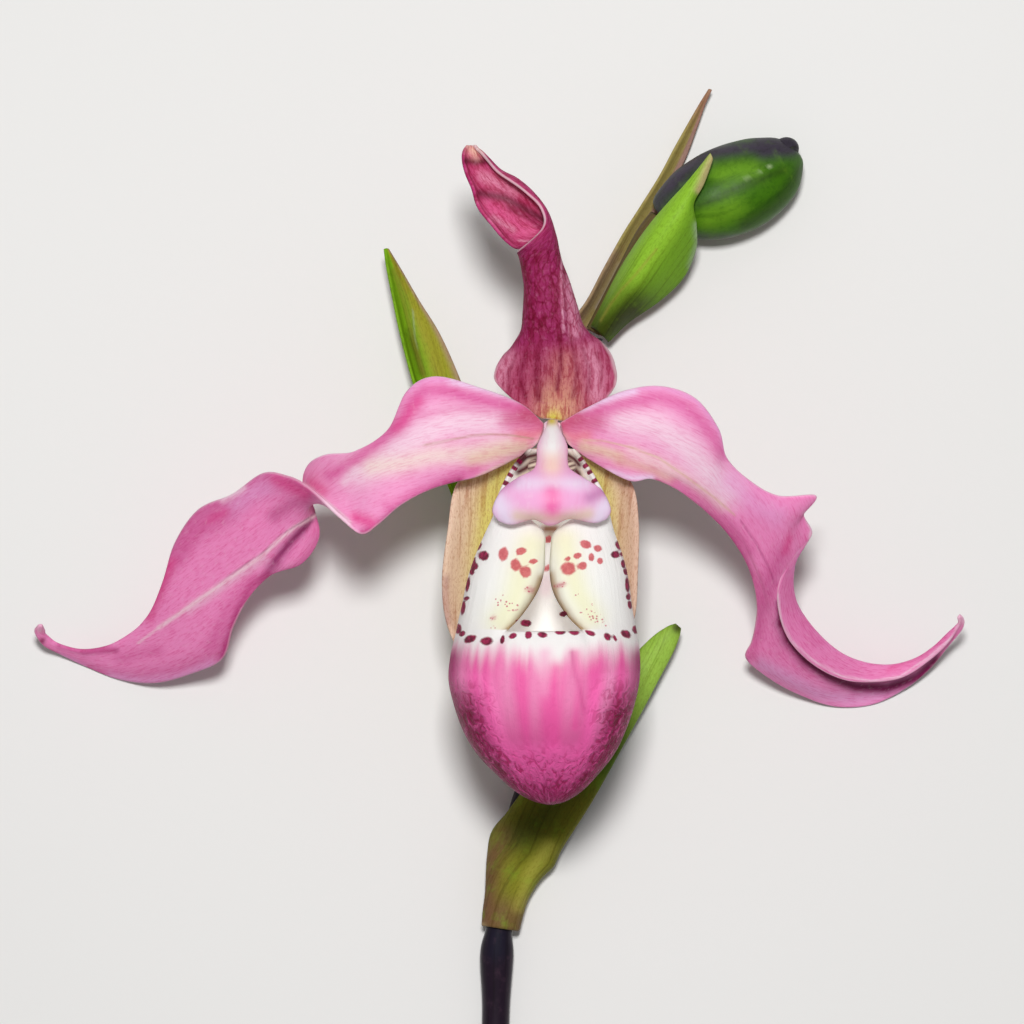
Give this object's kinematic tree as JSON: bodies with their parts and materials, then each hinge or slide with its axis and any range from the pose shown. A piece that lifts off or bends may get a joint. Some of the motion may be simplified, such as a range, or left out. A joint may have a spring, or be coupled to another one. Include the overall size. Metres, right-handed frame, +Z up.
{
  "type": "phragmipedium orchid spray",
  "caption": "Cut spray of a lady's-slipper orchid lying on its back: pouched lip, twisted hanging petals, rolled dorsal sepal, a bud, bracts and the cut stem.",
  "frame": {"origin": "under the middle of the spray's bounding box, on the surface it lies on", "axes": "+Y along the stem from its cut end to the bud; +Z up, the way the open flower faces; +X to the right of the flower as its viewer sees it from above"},
  "size_m": [0.122, 0.1562, 0.0467],
  "materials": {
    "stem": "dark purple-black, matt, finely hairy",
    "sheath_bract": "yellow-brown outside and dark green inside, satin",
    "floral_bract": "green to yellow, satin",
    "end_bract": "brown-mauve, satin",
    "bud_stalk": "green-brown, satin",
    "bud_bract": "bright lime green, satin",
    "bud": "green with a dark purple-grey side, satin",
    "ovary": "brown-green, matt, finely hairy",
    "dorsal_sepal": "maroon-pink with darker veins, satin",
    "synsepal": "cream and tan with pink veins, satin",
    "petal": "pink with magenta veins and pale lights, satin",
    "lip": "glossy pink pouch, white spotted side lobes",
    "column": "lavender-white with a pink centre, satin"
  },
  "bodies": {
    "root": {"stem": "stem", "sheath_bract": "sheath_bract", "floral_bract": "floral_bract", "end_bract": "end_bract", "bud_stalk": "bud_stalk", "bud_bract": "bud_bract", "bud": "bud", "ovary": "ovary", "dorsal_sepal": "dorsal_sepal", "synsepal": "synsepal", "petal_left": "petal", "petal_right": "petal", "lip": "lip", "column": "column"}
  },
  "joints": []
}
